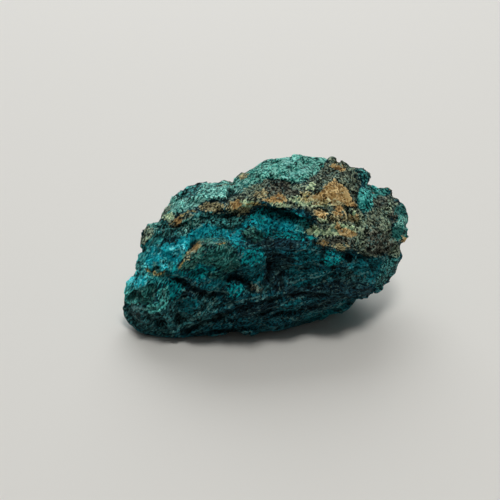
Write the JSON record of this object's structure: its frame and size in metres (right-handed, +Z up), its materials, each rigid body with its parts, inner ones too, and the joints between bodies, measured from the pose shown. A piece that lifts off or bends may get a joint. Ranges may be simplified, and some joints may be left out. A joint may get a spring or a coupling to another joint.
{
  "type": "chrysocolla specimen",
  "caption": "Rough chrysocolla mineral specimen: one broken turquoise and teal stone with a rust-stained crust, resting on a flat worn underside.",
  "frame": {"origin": "on the surface that the stone rests on, under the middle of its bounding box", "axes": "+X along the stone's length, from its low left tip to its raised right nose; +Y towards its back; +Z up"},
  "size_m": [0.0752, 0.046, 0.0405],
  "materials": {
    "chrysocolla": "dull granular crust, patchy turquoise, blue, dark teal, pale green and rust"
  },
  "bodies": {
    "root": {"chrysocolla_stone": "chrysocolla"}
  },
  "joints": []
}
